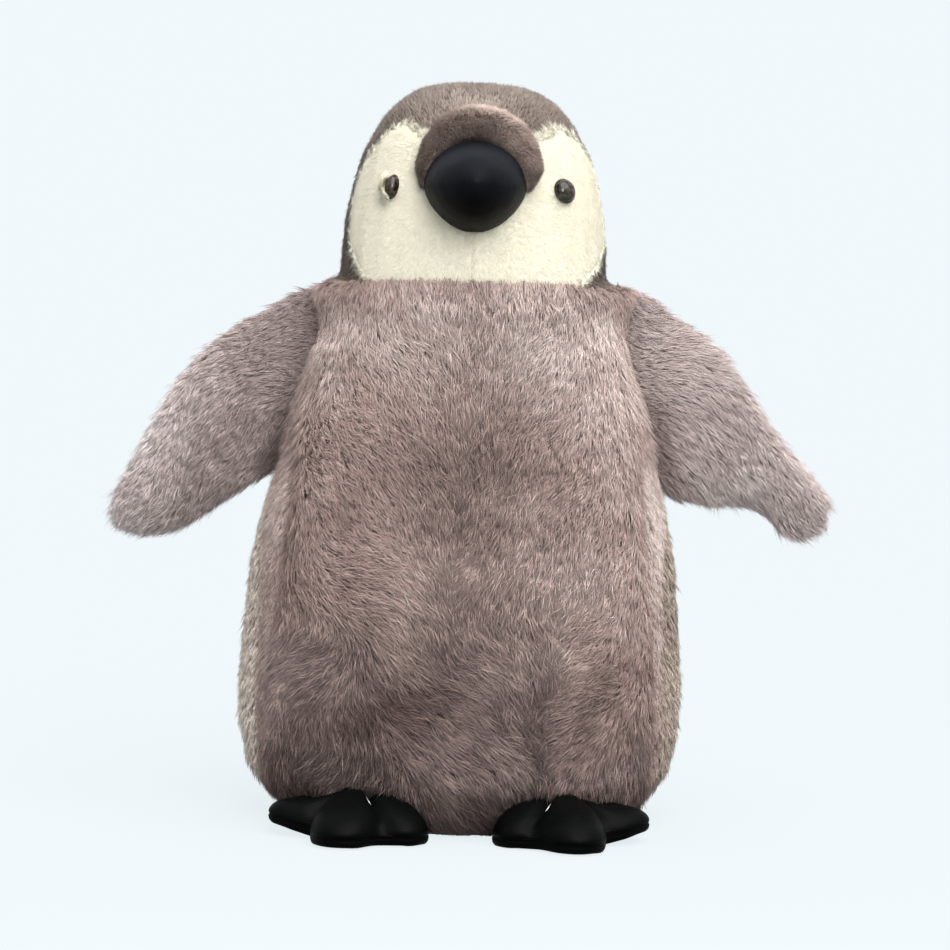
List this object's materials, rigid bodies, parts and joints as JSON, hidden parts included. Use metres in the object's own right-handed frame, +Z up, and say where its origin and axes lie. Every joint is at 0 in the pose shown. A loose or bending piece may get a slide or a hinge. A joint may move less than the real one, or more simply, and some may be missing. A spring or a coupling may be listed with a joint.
{
  "type": "plush penguin",
  "caption": "Standing plush penguin chick with a long-pile body, flippers that sweep about their shoulder seams and feet that flex at the toes.",
  "frame": {"origin": "middle of the flat base panel that the toy stands on", "axes": "+Z up through the head, the face and beak look along -Y, and +X is the penguin's own left"},
  "size_m": [0.5224, 0.2958, 0.534],
  "materials": {
    "body_fur": "long plush pile, mauve brown, matte with a soft sheen",
    "back_fur": "plush pile, beige brown, matte",
    "flipper_fur": "long plush pile, pale mauve grey, matte with a soft sheen",
    "cap_fur": "short dense pile, grey brown, matte",
    "brow_fur": "short velvety pile, warm brown, matte",
    "face_fleece": "short cream fleece, matte",
    "smooth_cloth": "smooth short-napped cloth, near black, low sheen",
    "eye_plastic": "glossy moulded plastic",
    "washer_plastic": "moulded plastic",
    "stuffing": "polyester fibre fill",
    "label_satin": "woven satin tape, blank"
  },
  "bodies": {
    "torso": {"belly_panel_left": "body_fur", "belly_panel_right": "body_fur", "back_panel_left": "back_fur", "back_panel_right": "back_fur", "base_panel": "back_fur", "torso_stuffing": "stuffing", "face_panel_left": "face_fleece", "face_panel_right": "face_fleece", "head_cap_left": "cap_fur", "head_cap_right": "cap_fur", "head_stuffing": "stuffing", "beak_cover": "smooth_cloth", "beak_stuffing": "stuffing", "brow_cover": "brow_fur", "brow_stuffing": "stuffing", "eye_left": "eye_plastic", "eye_right": "eye_plastic", "eye_washer_left": "washer_plastic", "eye_washer_right": "washer_plastic", "care_label": "label_satin"},
    "left_flipper": {"flipper_front_left": "flipper_fur", "flipper_back_left": "flipper_fur", "flipper_stuffing_left": "stuffing"},
    "right_flipper": {"flipper_front_right": "flipper_fur", "flipper_back_right": "flipper_fur", "flipper_stuffing_right": "stuffing"},
    "left_foot": {"foot_top_left": "smooth_cloth", "foot_sole_left": "smooth_cloth", "foot_stuffing_left": "stuffing"},
    "right_foot": {"foot_top_right": "smooth_cloth", "foot_sole_right": "smooth_cloth", "foot_stuffing_right": "stuffing"}
  },
  "joints": [
    {"name": "left_flipper_sweep", "type": "hinge", "parent": "torso", "child": "left_flipper", "pos_m": [0.1216, 0, 0.3195], "axis": [0.292, 0, -0.9564], "range_deg": [-40, 55], "stiffness_Nm_per_rad": 0.4},
    {"name": "right_flipper_sweep", "type": "hinge", "parent": "torso", "child": "right_flipper", "pos_m": [-0.1216, 0, 0.3195], "axis": [0.292, 0, 0.9564], "range_deg": [-40, 55], "stiffness_Nm_per_rad": 0.4},
    {"name": "left_foot_flex", "type": "hinge", "parent": "torso", "child": "left_foot", "pos_m": [0.07, -0.095, 0.004], "axis": [-0.9404, -0.3401, 0], "range_deg": [0, 18], "stiffness_Nm_per_rad": 0.5},
    {"name": "right_foot_flex", "type": "hinge", "parent": "torso", "child": "right_foot", "pos_m": [-0.07, -0.095, 0.004], "axis": [-0.9404, 0.3401, 0], "range_deg": [0, 18], "stiffness_Nm_per_rad": 0.5}
  ]
}
